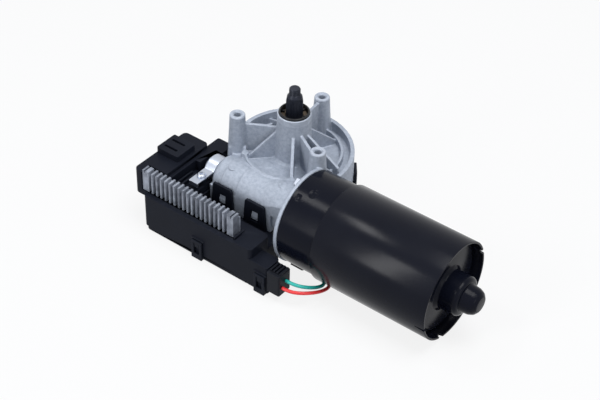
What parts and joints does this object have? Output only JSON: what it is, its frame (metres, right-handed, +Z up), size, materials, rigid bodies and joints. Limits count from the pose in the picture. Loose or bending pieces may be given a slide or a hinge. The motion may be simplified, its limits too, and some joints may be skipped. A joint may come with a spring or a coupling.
{
  "type": "wiper motor",
  "caption": "Electric wiper motor: a long can motor drives an upright output shaft through a worm wheel, with three screw bosses and a finned electronics box.",
  "frame": {"origin": "on the output shaft's axis, in the plane of the three boss tops", "axes": "+Z up the output shaft, +X along the motor towards its closed end, -Y towards the finned electronics box"},
  "size_m": [0.257, 0.1319, 0.1054],
  "materials": {
    "cast_alloy": "satin, as cast",
    "bush_bronze": "sintered",
    "shaft_steel": "ground",
    "shaft_blackened": "blackened",
    "spring_steel": "dark",
    "seal_black": "matt",
    "washer_brown": "matt",
    "wheel_plastic": "greased",
    "magnet_grey": "matt",
    "core_sheets": "stacked sheets",
    "copper": "enamelled",
    "commutator_resin": "matt",
    "can_black": "gloss",
    "flux_black": "gloss",
    "brush_plate_plastic": "matt",
    "carbon": "matt",
    "zinc_plate": "bright zinc",
    "tray_plastic": "satin",
    "cover_plastic": "satin",
    "sink_aluminium": "extruded",
    "board_green": "varnished",
    "component_black": "matt",
    "capacitor_sleeve": "bare",
    "pin_brass": "tinned",
    "gasket_rubber": "matt",
    "plug_black": "satin",
    "lead_red": "satin",
    "lead_green": "satin"
  },
  "bodies": {
    "motor_body": {"gear_housing": "cast_alloy", "upper_shaft_bush": "bush_bronze", "lower_shaft_bush": "bush_bronze", "shaft_washer": "spring_steel", "seal_cap": "seal_black", "felt_washer": "washer_brown", "thrust_washer": "spring_steel", "bearing_outer_ring": "shaft_steel", "bearing_balls": "shaft_steel", "bearing_retainer": "spring_steel", "worm_end_bush": "bush_bronze", "thrust_ball": "shaft_steel", "thrust_plug": "zinc_plate", "rear_bush": "bush_bronze", "rear_bush_retainer": "spring_steel", "motor_can": "can_black", "lead_grommet": "gasket_rubber", "flux_ring": "flux_black", "field_magnets": "magnet_grey", "magnet_springs": "spring_steel", "brush_plate": "brush_plate_plastic", "carbon_brushes": "carbon", "brush_springs": "spring_steel", "choke_coils": "copper", "plate_screws": "zinc_plate", "electronics_tray": "tray_plastic", "bottom_cover": "cover_plastic", "heat_sink": "sink_aluminium", "circuit_board": "board_green", "power_transistors": "component_black", "capacitors": "capacitor_sleeve", "control_chips": "component_black", "connector_pins": "pin_brass", "housing_gasket": "gasket_rubber", "earth_clip": "zinc_plate", "clip_screw": "zinc_plate", "motor_lead_plug": "plug_black", "red_lead": "lead_red", "green_lead": "lead_green"},
    "output": {"output_shaft": "shaft_blackened", "shaft_circlip": "spring_steel", "worm_wheel": "wheel_plastic", "wheel_hub": "shaft_steel", "position_magnet": "magnet_grey"},
    "armature": {"armature_shaft": "shaft_steel", "armature_core": "core_sheets", "armature_windings": "copper", "commutator_core": "commutator_resin", "commutator_bars": "copper", "bearing_inner_ring": "shaft_steel"}
  },
  "joints": [
    {"name": "armature_spin", "type": "hinge", "parent": "motor_body", "child": "armature", "pos_m": [0, -0.035, -0.0415], "axis": [1, 0, 0], "continuous": true},
    {"name": "output_spin", "type": "hinge", "parent": "motor_body", "child": "output", "pos_m": [0, 0, 0], "axis": [0, 0, 1], "continuous": true}
  ],
  "couplings": [
    {"joint": "output_spin", "follows": "armature_spin", "ratio": -0.016129}
  ]
}
